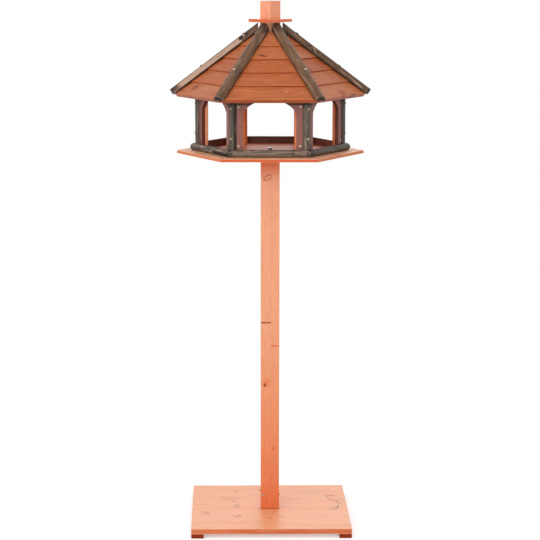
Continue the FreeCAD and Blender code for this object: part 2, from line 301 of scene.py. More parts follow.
LOG_SIDES, LOG_STEP, LOG_LIP, LOG_ROUGH = 26, 6, 1, 0.06
LOG_RIM, LOG_HOLLOW = 2.4, 0.25


def half_log(radius, centre, start, end, seed, floor=NO_FLOOR, patches=(), planed=None, drop=0.8):
    """A half-round log along X over the plane z = 0. Start and end give X of its ends at (y, z).

    Its skin waves inwards only, so that it stays within its solid. Planed is a flat face, (from x,
    to x, angle, reach). Drop is how far its ends are rounded down, worn bare where below 1 mm.
    """
    board = bmesh.new()
    kinds = board.faces.layers.int.new("kind")
    low = asin(-centre / radius)
    angles = [low + (pi - 2 * low) * n / LOG_SIDES for n in range(LOG_SIDES + 1)]
    length = abs(end(0, radius / 2) - start(0, radius / 2))
    count = round(length / LOG_STEP)
    lip = LOG_LIP / length
    rows = []
    for t in [0, lip] + [lip + (1 - 2 * lip) * n / count for n in range(1, count)] + [1 - lip, 1]:
        row = []
        for angle in angles:
            along = start(0, 0) + (end(0, 0) - start(0, 0)) * t
            slow = noise.noise(Vector((along / 90, angle * 0.9, seed * 9.1)))
            fine = noise.noise(Vector((along / 22, angle * 2.6, seed * 5.3 + 40)))
            wave = LOG_ROUGH * (0.45 + 0.45 * slow + 0.25 * fine)
            reach = radius * (1 - wave * min(1, (pi - angle) * 2))
            for x, at, long, wide, _, lift in patches:
                gap = hypot((along - x) / long, (angle - at) / wide)
                reach += lift * exp(-1.5 * gap * gap)
            if planed and planed[0] < along < planed[1] and abs(angle - planed[2]) < 1.2:
                reach = min(reach, planed[3] / cos(angle - planed[2]))
            reach = min(reach, radius) - (drop if t in (0, 1) else 0)
            y, z = max(floor, reach * cos(angle)), max(0, centre + reach * sin(angle))
            row.append(board.verts.new((start(y, z) + (end(y, z) - start(y, z)) * t, y, z)))
        rows.append(row)
    for a, b in zip(rows, rows[1:]):
        for face in joined(board, a, b):
            face[kinds] = WEAR_AND_HIGHLIGHT if drop < 1 and (a is rows[0] or b is rows[-1]) else PLAIN
    caps = [board.faces.new(rows[0]), board.faces.new(rows[-1])]
    outward(board)
    for face in bmesh.ops.inset_individual(board, faces=caps, thickness=LOG_RIM, depth=-LOG_HOLLOW)["faces"]:
        face[kinds] = RIM
    return board


def log_stain_and_shade(depth, patches=(), planed=None, centre=0, floor=NO_FLOOR):
    """The stain of a log as its patches say, with painted shade where its skin meets what it lies on."""
    def stain(co):
        angle = atan2(co.z - centre, co.y)
        value = depth
        if planed and planed[0] < co.x < planed[1]:
            bare = min(1, (co.x - planed[0]) / 45)
            value += -1.7 * bare if abs(angle - planed[2]) < 0.57 else 1.2 * bare
        for x, at, long, wide, more, _ in patches:
            gap = hypot((co.x - x) / long, (angle - at) / wide)
            value += more * max(0, min(1, 2.2 - 2.2 * gap))
        # Painted shade along the edges where the skin meets the log's bed or the tray
        return value + 1.7 * max(0, 1 - co.z / 2.6, 1 - (co.y - floor) / 2.4)
    return stain


# Materials


class Nodes:
    """Short calls for one node tree, of a material or of the world."""

    def __init__(self, owner, shader="Principled BSDF"):
        owner.use_nodes = True
        self.owner, self.tree = owner, owner.node_tree
        self.shader = self.tree.nodes[shader]

    def add(self, kind, inputs=(), **settings):
        node = self.tree.nodes.new("ShaderNode" + kind)
        for key, value in settings.items():
            setattr(node, key, value)
        for key, value in dict(inputs).items():
            self.set(node.inputs[key], value)
        return node

    def first(self, *call, **settings):
        return self.add(*call, **settings).outputs[0]

    def set(self, socket, value):
        if isinstance(value, bpy.types.NodeSocket):
            self.tree.links.new(value, socket)
        else:
            socket.default_value = value

    def give(self, name, value):
        self.set(self.shader.inputs[name], value)

    def attribute(self, name):
        return self.add("Attribute", attribute_name=name).outputs["Vector"]

    def split(self, vector):
        return self.add("SeparateXYZ", {0: vector}).outputs

    def math(self, operation, *values, clamp=False):
        return self.first("Math", enumerate(values), operation=operation, use_clamp=clamp)

    def times(self, a, b, clamp=False):
        return self.math("MULTIPLY", a, b, clamp=clamp)

    def muladd(self, a, b, c):
        return self.math("MULTIPLY_ADD", a, b, c)

    def apart(self, a, b):
        return self.math("ABSOLUTE", self.math("SUBTRACT", a, b))

    def about(self, value, factor, middle):
        """Middle, moved by the factor times what the value is over a half."""
        return self.muladd(self.math("SUBTRACT", value, 0.5), factor, middle)

    def most(self, a, b):
        return self.math("MAXIMUM", a, b)

    def vector(self, operation, *values):
        node = self.add("VectorMath", enumerate(values), operation=operation)
        return node.outputs["Value" if operation in ("LENGTH", "DOT_PRODUCT") else "Vector"]

    def stretched(self, vector, factors):
        return self.vector("MULTIPLY", vector, factors)

    def away(self, vector, point):
        return self.vector("SUBTRACT", vector, point)

    def noise(self, vector, size, detail=3, roughness=0.55):
        """Noise of about 0..1 whose features are as long as the three lengths of size."""
        place = self.stretched(vector, tuple(1 / length for length in size))
        return self.first("TexNoise", {"Vector": place, "Scale": 1, "Detail": detail, "Roughness": roughness})

    def spots(self, vector, size, *bounds, detail=3, roughness=0.55):
        """Spots where the noise is over the lower bound, as step has them."""
        return self.step(self.noise(vector, size, detail, roughness), *bounds)

    def step(self, value, low, high, start=0, stop=1):
        """Runs smoothly from start to stop while the value goes from low to high."""
        return self.first("MapRange", {0: value, 1: low, 2: high, 3: start, 4: stop},
                          interpolation_type="SMOOTHSTEP")

    def mix(self, factor, a, b):
        a, b = ((*end, 1) if isinstance(end, tuple) else end for end in (a, b))
        return self.add("Mix", {0: factor, 6: a, 7: b}, data_type="RGBA").outputs[2]

    def scaled(self, colour, factor):
        return self.first("VectorMath", {0: colour, "Scale": factor}, operation="SCALE")

    def plus(self, a, b):
        return self.math("ADD", a, b)

    def length(self, vector):
        return self.vector("LENGTH", vector)

    def dot(self, a, b):
        return self.vector("DOT_PRODUCT", a, b)

    def bumped(self, height, depth):
        self.give("Normal", self.first("Bump", {"Height": height, "Distance": depth, "Strength": 1}))


def srgb(code):
    """A colour written as it is seen, in hexadecimal, turned to the linear values of a shader."""
    seen = [int(code[n:n + 2], 16) / 255 for n in (0, 2, 4)]
    return tuple(v / 12.92 if v <= 0.04045 else ((v + 0.055) / 1.055) ** 2.4 for v in seen)


def dimmed(colour, factor):
    return tuple(part * factor for part in colour)


KNOT_CELL, CELL_WIDTH = 230, 58
RING_TAPER = 0.02
CHIP_COLOUR = (0.86, 0.8, 0.72)


def knot_gaps(n, grain, ragged, knots, scatter):
    """The distance of each knot, 1 at its edge, with its push on the rings, its fill and its rim."""
    gaps = []
    for x, y, long, wide, lean, fill, edge in knots:
        away = n.away(grain, (x, y, 0))
        run, rise = cos(lean), sin(lean)
        away = n.first("CombineXYZ", {0: n.dot(away, (run / long, rise / long, 0)),
                                      1: n.dot(away, (-rise / wide, run / wide, 0))})
        gaps.append((n.plus(n.length(away), ragged), 2.2 * wide, fill, edge))
    if scatter:
        cells = n.stretched(grain, (1 / KNOT_CELL, 1 / CELL_WIDTH, 0))
        chance = n.add("TexVoronoi", {"Vector": cells, "Scale": 1}, voronoi_dimensions="2D").outputs
        away = n.stretched(n.away(cells, chance["Position"]), (KNOT_CELL, CELL_WIDTH, 0))
        red, green = n.split(chance["Color"])[:2]
        size = n.muladd(n.step(red, 1 - scatter, 1), 5.5, n.muladd(green, 3, 1.5))
        far = n.times(n.math("LESS_THAN", red, 1 - scatter), 90)
        gap = n.plus(n.math("DIVIDE", n.length(n.stretched(away, (0.7, 1, 0))), size), ragged)
        gaps.append((n.plus(gap, far), 12, 0.45, 0.7))
    return gaps


def nearest_mark(n, level, marks):
    """How far a place on the board is from the nearest of the fine lines."""
    near = 100
    for line in marks:
        for (x, y), (x1, y1) in zip(line, line[1:]):
            run, rise = x1 - x, y1 - y
            away = n.away(level, (x, y, 0))
            along = n.times(n.dot(away, (run, rise, 0)), 1 / (run * run + rise * rise), clamp=True)
            near = n.math("MINIMUM", n.length(n.away(away, n.scaled((run, rise, 0), along))), near)
    return near


def late_wood(n, grain, pith, ring, swell):
    """The dark part of each year's ring, round the pith and swollen by the knots."""
    drift = n.add("TexNoise", {"Vector": n.stretched(grain, (1 / 210, 1 / 60, 1 / 60)),
                               "Scale": 1, "Detail": 2}).outputs["Color"]
    drift = n.stretched(n.away(drift, (0.5, 0.5, 0.5)), (0, 26, 20))
    across = n.away(n.vector("ADD", grain, drift), (0, *pith))
    x = n.split(across)[0]
    radius = n.plus(n.muladd(x, RING_TAPER, n.length(n.stretched(across, (0, 1, 1)))), swell)
    wave = n.math("FRACT", n.math("DIVIDE", radius, ring))
    late = n.times(n.step(wave, 0.25, 0.93), n.step(wave, 1, 0.94))
    years = n.first("CombineXYZ", {0: radius, 1: n.times(x, 0.02)})
    return n.times(late, n.spots(years, (9, 9, 9), 0.25, 0.7, 0.35, 1, detail=2))


def wood(name, palette, ring=4.5, pith=(6, -42), contrast=0.55, blotch=0.16, streak=0.16, wear=0.25,
         rub=(0.42, 0.62), end_light=0.75, roughness=0.42, specular=0.5, relief=0.00012, knots=(), marks=(),
         scatter=0, fleck=0, crack=0, bark=None, crust=0.8, flat=None, coat=0, spread=(150, 34),
         shade=1, chips=()):
    """Stained solid wood: rings round a pith, fibres, uneven stain, knots, wear on the edges, and a painted
    highlight on edges marked for it.

    The palette is pale, dark, deep, fair and knot. Stain runs from fair over pale and dark to
    deep, and past 1 it darkens. A knot is (x, y, half length, half width, lean, fill, rim), where
    fill below nought only deepens the stain. A mark is a fine dark line through (x, y) points, a
    chip a pale (x, y, size). Scatter is the share of board with a chance knot, fleck the strength
    of pale streaks, bark the colour of dark patches, flat that of the sawn face of a log.
    """
    pale, dark, deep, fair, knot = (srgb(code) for code in palette.split())
    n = Nodes(bpy.data.materials.new(name))
    grain = n.attribute("grain")
    worn, end, stain = n.split(n.attribute("finish_and_painted_light"))
    ragged = n.muladd(n.noise(grain, (6, 6, 6)), 0.5, -0.25)
    level = n.stretched(grain, (1, 1, 0))

    gaps = knot_gaps(n, grain, ragged, knots, scatter)
    swell, core, rim, blush = 0, 0, 0, 0
    for gap, push, fill, edge in gaps:
        swell = n.muladd(n.step(gap, 3.6, 0.4), push, swell)
        blush = n.muladd(n.step(gap, 2, 0.6), abs(fill), blush)
        if fill > 0:
            core = n.most(n.step(gap, 1.1, 0.7, 0, fill), core)
        if edge:
            rim = n.most(n.step(n.apart(gap, 1), 0.28, 0.05, 0, edge), rim)
    if marks:
        near = n.muladd(ragged, 2.4, nearest_mark(n, level, marks))
        rim = n.most(n.step(near, 2.6, 0.6, 0, 0.9), rim)
    if marks or gaps:
        rim = n.times(rim, n.spots(grain, (9, 7, 7), 0.36, 0.56, 0.3, 1))

    late = late_wood(n, grain, pith, ring, swell)
    long, wide = spread
    fibre = n.noise(grain, (38, 0.7, 0.7))
    vein = n.noise(grain, (70, 3.5, 3.5))
    patch = n.noise(grain, (long, wide, wide), 4, 0.6)
    cloud = n.noise(grain, (long / 5, wide / 2.4, wide / 2.4))
    colour = n.mix(n.times(late, contrast), pale, dark)
    uneven = n.about(vein, blotch, n.about(patch, 1.6 * blotch, stain))
    uneven = n.most(n.plus(uneven, blush), n.muladd(end, 1.6, -0.6))
    colour = n.mix(n.times(uneven, -1, clamp=True), colour, fair)
    colour = n.mix(n.times(uneven, 1, clamp=True), colour, deep)
    if fleck:
        streaks = n.spots(grain, (60, 2.6, 2.6), 0.56, 0.68, 0, fleck, detail=2)
        colour = n.mix(n.times(streaks, n.spots(grain, (110, 26, 26), 0.45, 0.6)), colour, fair)
    light = n.about(cloud, blotch * shade, n.about(patch, blotch * shade, 1))
    light = n.about(fibre, streak * 2, light)
    light = n.times(light, n.step(end, 0.3, 1, 1, end_light))
    # Stain past 1 darkens: deep stain, and the painted shade that some callers give.
    light = n.times(light, n.step(stain, 1, 2, 1, 0.3))
    colour = n.scaled(colour, light)
    if bark:
        flake = n.spots(grain, (45, 9, 9), 0.57, 0.69, 0, crust, detail=4, roughness=0.65)
        colour = n.mix(n.times(flake, n.step(stain, -0.8, -0.2)), colour, srgb(bark))
    if flat:
        colour = n.mix(n.step(n.split(grain)[2], 0.4, 0.1), colour, n.scaled(srgb(flat), light))
    # The pale rubbed colour on marked faces: wear, and on the roof's lap edges a painted highlight
    rubbed_and_highlit = n.times(worn, n.spots(grain, (18, 6, 6), *rub))
    colour = n.mix(n.times(rubbed_and_highlit, wear), colour, tuple(min(1, part * 1.3 + 0.03) for part in fair))
    split_open = 0
    if crack:
        split_open = n.step(n.apart(n.noise(grain, (60, 3.2, 3.2), 2), 0.5), 0.016, 0)
        split_open = n.times(split_open, n.spots(grain, (70, 20, 20), 0.48, 0.6))
        colour = n.mix(n.times(split_open, crack), colour, dimmed(dark, 0.2))
    if gaps:
        rings = n.math("SINE", n.times(swell, 3))
        colour = n.mix(core, colour, n.mix(n.muladd(rings, 0.25, 0.35), knot, dimmed(knot, 0.5)))
    if gaps or marks:
        colour = n.mix(rim, colour, dimmed(knot, 0.4))
    for x, y, size in chips:
        away = n.muladd(ragged, size, n.length(n.away(level, (x, y, 0))))
        colour = n.mix(n.step(away, size, 0.7 * size), colour, CHIP_COLOUR)
    n.give("Base Color", colour)
    n.give("Specular IOR Level", specular)

    gloss = n.muladd(end, 0.2, n.muladd(late, -0.07, n.about(patch, 0.24, roughness)))
    n.give("Roughness", n.muladd(rubbed_and_highlit, 0.12, gloss))
    if coat:
        n.give("Coat Weight", coat)
        n.give("Coat Roughness", 0.35)
    height = n.muladd(cloud, 0.6, n.muladd(fibre, 0.7, n.times(late, 0.6)))
    height = n.muladd(split_open, -3, n.muladd(rim, -0.8, height))
    n.bumped(height, relief)
    return n.owner


def metal(name, bright, dull, brown, roughness, tarnish):
    """A zinc coat, mottled and dulled in patches, with fine handling scratches."""
    n = Nodes(bpy.data.materials.new(name))
    grain = n.attribute("grain")
    stain = n.split(n.attribute("finish_and_painted_light"))[2]
    patch = n.spots(grain, (2.6, 2.6, 2.6), 0.4, 0.68, detail=4, roughness=0.65)
    colour = n.mix(n.times(patch, tarnish), bright, dull)
    # Stain browns the zinc: dirt, and painted shade where the callers give it.
    n.give("Base Color", n.mix(n.times(stain, 1, clamp=True), colour, brown))
    n.give("Metallic", 1)
    n.give("Roughness", n.muladd(patch, 0.22, roughness))
    scratch = n.noise(grain, (3, 0.18, 0.6), 2)
    n.bumped(n.muladd(patch, 0.6, scratch), 0.00003)
    return n.owner


# Knots of the base board as the photograph shows them, and the fine dark lines round them
BASE_KNOTS = [
    (-116, 74, 24, 14, 0, -0.32, 0), (-180, -66, 10, 12, 0, -0.35, 0.2), (-94, -2, 9, 11, 0.3, -0.2, 0.25),
    (-93, -88, 11, 11, 0.3, -0.2, 0.2), (176, 96, 13, 7, 0, -0.45, 0), (-3, -106, 6, 5, 0, 0.25, 0.3),
    (192, 40, 14, 50, 0.1, -0.2, 0)]
BASE_MARKS = [
    [(-100, 141), (-87, 141)], [(-108, 57), (-94, 38)], [(-100, -7), (-86, 18)],
    [(-101, -101), (-90, -92), (-83, -79)], [(-182, -55), (-170, -50)], [(23, -93), (31, -92)],
    [(34, -102), (41, -106)], [(163, 95), (183, 98)], [(166, 86), (174, 62), (185, 45)],
    [(190, 56), (197, 20), (190, -10)], [(166, -32), (180, -19), (187, -14)],
    [(177, -27), (184, -34), (194, -6)]]


def stave_seed(side, part):
    return 5 + 4 * side + 2 * part


def slat_seed(panel, n):
    return 70 + SLAT_COUNT * panel + n


# Knots of the post, as (side, part, height over the joint below, ...) and then as any knot
POST_KNOTS = [
    (0, 1, 938, 6.5, 6, 12, 0.4, -0.35, 0.8), (0, 0, 358, 14.5, 4, 3, 0, 0.8, 0.8),
    (0, 0, 366, 9, 9, 7, 0, -0.4, 0), (1, 0, 175, -9.6, 4, 3, 0, -0.4, 0.4)]
# Knots of the roof, as (panel, slat, ...) and then as any knot along the eave and up the slope
ROOF_KNOTS = [
    (3, 0, -52, 31, 11, 7, 0.3, 0.4, 0.9), (4, 3, -20, 163, 8, 3, -0.3, 0.6, 0.8),
    (5, 2, -50, 108, 11, 6, 0.3, 0.4, 0.9), (5, 2, -40, 104, 4, 4, 0, 0.3, 0.8),
    (5, 0, 9, 15, 13, 8, 0.2, -0.7, 0.1), (0, 2, 20, 120, 7, 5, 0, 0.4, 0.8),
    (1, 0, -40, 22, 9, 7, 0.2, 0.4, 0.8), (2, 1, 35, 70, 8, 6, 0, 0.4, 0.8)]
# Checks and scars of the roof, as (panel, slat, points), and chips, as (panel, slat, x, y, size)
ROOF_MARKS = [
    (5, 0, ((14, 12), (4, 3), (-8, 1))), (5, 2, ((-57, 102), (-40, 101))), (4, 3, ((-22, 164), (-8, 161)))]
ROOF_CHIPS = [(4, 0, 44, 30.2, 1.9)]


def on_board(knots, seed):
    """Knots after two numbers of a board, moved to where the seed of that board puts its grain."""
    return [(x + GRAIN_SHIFT * seed(a, b), *rest) for a, b, x, *rest in knots]


base_wood = wood(
    "base_pine", "f6aa7a e69062 cc5c2a fabe9a 702e18", ring=9, pith=(30, -70), contrast=0.5, blotch=0.85,
    knots=BASE_KNOTS, marks=BASE_MARKS, coat=0.1, spread=(420, 45), shade=0.25)
post_wood = wood(
    "post_pine", "eea076 de865a e06a30 f4b28c 702e18", ring=3.4, pith=(24, -30), contrast=0.6, streak=0.3,
    knots=on_board(POST_KNOTS, stave_seed))
# The king post's wood is paler than the post's: painted light, to make up for the shade of the cap plate over
# it.
king_wood_painted_light = wood("king_pine_painted_light", "ffbe92 fca87a e06a30 ffc8a0 702e18", ring=3.4, streak=0.22)
tray_wood = wood(
    "tray_pine", "d88050 be6034 d86030 ffcca8 702e18", ring=5, pith=(-20, -60), scatter=0.2, specular=0.3,
    roughness=0.52)
cap_wood = wood("cap_pine", "f0a078 e2865c e2622e f4ae8a 702e18", ring=3.6, streak=0.22, end_light=0.9)
# Its strong wear also paints the highlight along the rounded lap edges of the slats.
roof_wood = wood(
    "roof_pine", "bb6434 96461e 9c421a dc9064 702e18", ring=5.5, pith=(14, -30), contrast=0.7, blotch=0.4,
    streak=0.26, scatter=0.05, fleck=0.6, wear=0.85, rub=(0.28, 0.55), specular=0.3, roughness=0.5,
    knots=on_board(ROOF_KNOTS, slat_seed), chips=on_board(ROOF_CHIPS, slat_seed),
    marks=[on_board([(panel, n, *point) for point in line], slat_seed) for panel, n, line in ROOF_MARKS])
frame_wood = wood(
    "frame_pine", "ee8854 d26636 a83812 f8a67a 702e18", ring=4, scatter=0.15, specular=0.15)
bracket_wood = wood(
    "bracket_pine", "905a50 76443c 542214 98665c 321814", ring=4, contrast=0.5, blotch=0.2, streak=0.14,
    specular=0.35)


def log_wood(name, palette, bark, crust):
    return wood(name, palette + " deb8a0 1e1610", ring=4, pith=(0, 2), contrast=0.7, blotch=0.35, streak=0.5,
                roughness=0.5, specular=0.35, relief=0.0003, wear=0.2, end_light=0.55, crack=0.85, bark=bark,
                crust=crust, flat="ac6450", scatter=0.3, fleck=0.3)


ridge_wood = log_wood("dark_log", "745236 483222 2c2016", "2c221c", 0.5)
rail_wood = log_wood("dark_log_grey", "695c4e 3e352c 26211b", "2c2520", 0.8)
zinc_screw = metal("zinc_screw", (0.66, 0.55, 0.41), (0.26, 0.2, 0.13), (0.1, 0.06, 0.03), 0.32, 0.6)
zinc_bolt = metal("zinc_bolt", (0.8, 0.82, 0.78), (0.45, 0.44, 0.42), (0.12, 0.09, 0.07), 0.22, 0.5)


# Base and post

# The stain runs from paler at POST_SHADE to painted shade SHADE_LENGTH higher, close under the tray; the last
# few millimetres at the foot take a painted contact shadow.
POST_SHADE, SHADE_LENGTH, POST_FOOT_SHADE = POST_HEIGHT - 72, 42, 3


def base_board():
    board = eased(slab(BASE_WIDTH, BASE_DEPTH, -BASE_THICK, 0), 1)
    single("base_board", base_wood, "base_pine", board, laid((0, 0, BASE_TOP), X, UP), edges=0.85)


def feet():
    for side, name in ((-1, "foot_left"), (1, "foot_right")):
        board = eased(slab(BASE_DEPTH, FOOT_WIDTH, 0, FOOT_THICK), 0.8)
        # Stain 1.25 deepens the feet past their wood's deep colour: partly their own stain, partly painted
        # shade under the base board.
        single(name, frame_wood, "base_pine", board, laid((side * FOOT_PLACE, 0, 0), Y, UP), 3 + side, 1.25)


def staves():
    half = POST_SIDE / 2
    place = laid((0, 0, BASE_TOP), UP, -Y)
    for side, (name, joint, line, left, right) in enumerate((
            ("post_stave_left", LEFT_JOINT, 2.1, -half, LEFT_STAVE - half),
            ("post_stave_right", RIGHT_JOINT, 1.2, LEFT_STAVE - half, half))):
        def stain(co):
            """More stain towards the foot and in the joint of the boards, painted shade close under the tray
            and a painted contact shadow at the foot.
            """
            if co.x > POST_SHADE - 0.1:
                return 1.3 * min(1, (co.x - POST_SHADE) / SHADE_LENGTH) - 0.4
            if co.x < POST_FOOT_SHADE - 0.1:
                return 1.8
            return line if abs(co.x - joint) < 1.7 else max(0, 1 - co.x / 560) - 0.1
        piece = Piece(name, post_wood, "post_pine")
        for part, (low, high) in enumerate(((0, joint), (joint, POST_HEIGHT))):
            board = eased(bar(low, high, -right, -left, -half, half), 0.5)
            scored(board, X, (POST_FOOT_SHADE / 2, POST_FOOT_SHADE, joint - 2.2, joint - 1.6, joint + 1.6, joint + 2.2,
                              POST_SHADE, POST_SHADE + SHADE_LENGTH))
            piece.add(board, place, stave_seed(side, part), stain)
        piece.finish_up()


# Tray


def tray():
    place = laid((0, 0, TRAY_TOP), turn(HOUSE_TURN) @ X, UP)
    corners = [turn(60 * k) @ X for k in range(6)]
    sides = [aside(1) @ corner for corner in corners]
    inner, outer = RAIL_SEAT, RAIL_SEAT + RAIL_RADIUS / 2
    board = prism([corner * TRAY_RADIUS - UP * TRAY_THICK for corner in corners], UP * TRAY_THICK)
    board = eased(board, 0.8)
    for side in sides:
        scored(board, side, (inner, outer))

    def stain(co):
        """Paler on top outside the rails: painted sheen; deeper inside the rails and below."""
        outside = max(side.dot(co) for side in sides) > (inner + outer) / 2
        return -1 if outside and co.z > -TRAY_THICK / 2 else 0.2
    # The edge that faces the front takes far more stain than the other sawn edges: painted shade on that
    # side.
    single("tray_board", tray_wood, "base_pine", board, place, 11, stain,
           lambda normal: 1.2 if normal.y < -0.7 else 0.1, 0.9)


# Patches of the logs: (x, angle, half length, half angle, stain, lift)
RAIL_PATCHES = {
    3: [(-43, 0.9, 16, 0.4, -0.3, 0.5), (-80, 1, 12, 0.2, -0.25, 0), (-60, 1.6, 20, 0.15, 1.4, -0.3),
        (2, 1.2, 14, 0.25, 1.8, -0.6), (8, 1.9, 10, 0.35, -0.3, 0.5), (36, 1.8, 15, 0.5, 2.8, -1.4),
        (68, 2, 28, 0.6, 3, -1.4), (102, 2.1, 20, 0.6, 3, -1.2), (58, 0.9, 18, 0.2, -0.4, 0.6),
        (40, 0.35, 6, 0.3, 1.8, -0.4), (-20, 0.6, 22, 0.1, 1.2, 0)],
    4: [(-46, 0.35, 6, 0.3, 1.3, 0.4), (58, 0.35, 5, 0.3, 1.3, 0.4), (-20, 1, 34, 0.12, 0.9, -0.2),
        (40, 1.5, 30, 0.12, 0.7, -0.2)],
    5: [(-96, 1.2, 6, 1, 0.6, 0), (30, 1.2, 40, 0.3, 0.4, -0.2)]}
RAIL_ENDS = [(-104, 1.5, 3, 9, 1.7, 0), (104, 1.5, 3, 9, 1.7, 0)]
RAIL_STAINS = (0, 0.2, 0, 0, -0.1, 0.3)


def rails():
    place = laid((RAIL_SEAT, 0, TRAY_TOP - RAIL_FLOOR), Y, X)

    def mitre(y, z):
        return (RAIL_SEAT + z) * TAN30 - JOINT_GAP / COS30
    for k in range(6):
        patches = RAIL_PATCHES.get(k, []) + RAIL_ENDS
        log = half_log(RAIL_RADIUS, 0, lambda y, z: -mitre(y, z), mitre, k + 1, RAIL_FLOOR, patches, drop=1.5)
        single("tray_rail_" + PANELS[k], rail_wood, "dark_log", log, panel_turn(k) @ place, 20 + k,
               log_stain_and_shade(RAIL_STAINS[k], patches, floor=RAIL_FLOOR))


# Corners of the house

# Stain of each corner batten by corner; the pale left one is painted light, where light comes through the
# opening onto it.
BATTEN_STAINS_AND_LIGHT = (0.3, 0.3, -0.1, -1, 0, -0.2)


def corner_battens():
    place = laid((BATTEN_NOSE, 0, TRAY_TOP), UP, X)
    half, fall = BATTEN_WIDTH / 2, BATTEN_WIDTH / 2 * TAN30
    outline = [(0, 0, 0), (0, half, -fall), (0, half, -BATTEN_THICK), (0, -half, -BATTEN_THICK),
               (0, -half, -fall)]
    for k in range(6):
        board = sawn(prism(outline, (2 * EAVE_HEIGHT, 0, 0)), place,
                     hip_point(EAVE_RADIUS, 0) - UP * RAFTER_DROP, HIP_NORMAL)
        single("corner_batten_" + CORNERS[k], frame_wood, "frame_pine", eased(board, 0.8),
               corner_turn(k) @ place, 30 + k, BATTEN_STAINS_AND_LIGHT[k])


# Heights over the tray where the painted shadow under the eave begins and where it is full
EAVE_SHADE = (135, 138.5)
CORNER_PATCHES = {
    # The first patch of the front-left log darkens the side that turns from the light, all along it: painted
    # shade.
    4: [(75, 2.75, 140, 0.6, 0.9, 0), (60, 1.2, 12, 0.3, -0.4, 0.3)],
    3: [(75, 2.7, 48, 0.13, -0.9, 0), (20, 2.3, 14, 0.2, -0.7, 0.3), (90, 1.9, 20, 0.3, 0.6, -0.4)],
    5: [(70, 1.75, 90, 0.1, 0.8, -0.3), (30, 0.9, 40, 0.1, -0.5, 0)]}
CORNER_STAINS = (0.4, 0, 0.2, 0.45, 0.4, 0)


def eave_shade(co):
    """Painted shadow: dark where a board of the house meets the underside of the roof."""
    low, high = EAVE_SHADE
    return 1.7 * max(0, min(1, (co.x - low) / (high - low)))


def corner_logs():
    place = laid((LOG_SEAT, 0, TRAY_TOP), UP, X)

    def top(y, z):
        return EAVE_HEIGHT + (EAVE_RADIUS - LOG_SEAT - z) * HIP_RISE - RAFTER_DROP
    for k in range(6):
        patches = CORNER_PATCHES.get(k, ())
        shade = log_stain_and_shade(CORNER_STAINS[k], patches)
        log = half_log(LOG_RADIUS, 0, lambda y, z: 0, top, 10 + k, patches=patches)
        single("corner_log_" + CORNERS[k], rail_wood, "dark_log", log, corner_turn(k) @ place, 40 + k,
               lambda co: shade(co) + eave_shade(co))


def arch_points(count=14):
    """The bracket's hollow shoulder, as (height, width) from the spring to the square end."""
    chord = Vector((ARCH_RISE, ARCH_REACH))
    half = chord.length / 2
    radius = (half * half + ARCH_BOW * ARCH_BOW) / (2 * ARCH_BOW)
    along, side = chord.normalized(), Vector((ARCH_REACH, -ARCH_RISE)).normalized()
    points = []
    for n in range(count + 1):
        angle = asin(half / radius) * (2 * n / count - 1)
        bow = radius * cos(angle) - radius + ARCH_BOW
        points.append(along * (half + radius * sin(angle)) + side * bow)
    return [(ARCH_SPRING + p.x, BRACKET_WIDTH + p.y) for p in points]


def brackets():
    place = laid((WALL_SEAT, 0, TRAY_TOP), UP, X)
    outline = [(0, 0), (0, BRACKET_WIDTH), *arch_points(), (EAVE_HEIGHT, BRACKET_WIDTH + ARCH_REACH),
               (EAVE_HEIGHT, 0)]
    for k in range(6):
        for side, hand in ((-1, "right"), (1, "left")):
            name = f"bracket_{PANELS[k]}_wall_{hand}"
            points = [(height, -side * (WALL_RADIUS / 2 - width), 0) for height, width in outline]
            board = mitred(prism(points, (0, 0, -BRACKET_THICK)), place)
            corner = aside(side) @ X
            board = scored(eased(sawn(board, place, corner * LOG_SEAT, corner)), X, EAVE_SHADE)
            # This one bracket takes a deeper stain: painted shade, for the light that reaches it less than
            # the others.
            depth = 0.45 if name == "bracket_front_left_wall_right" else 0
            single(name, bracket_wood, "bracket_pine", board, panel_turn(k) @ place, 50 + 2 * k + side,
                   lambda co: eave_shade(co) + depth, 0.7)


# Roof

FRONT_STAINS = (-0.05, 0, 0.05, -0.13, -0.21)
EAVE_CUT, SLAT_ARRIS = 2.4, 2


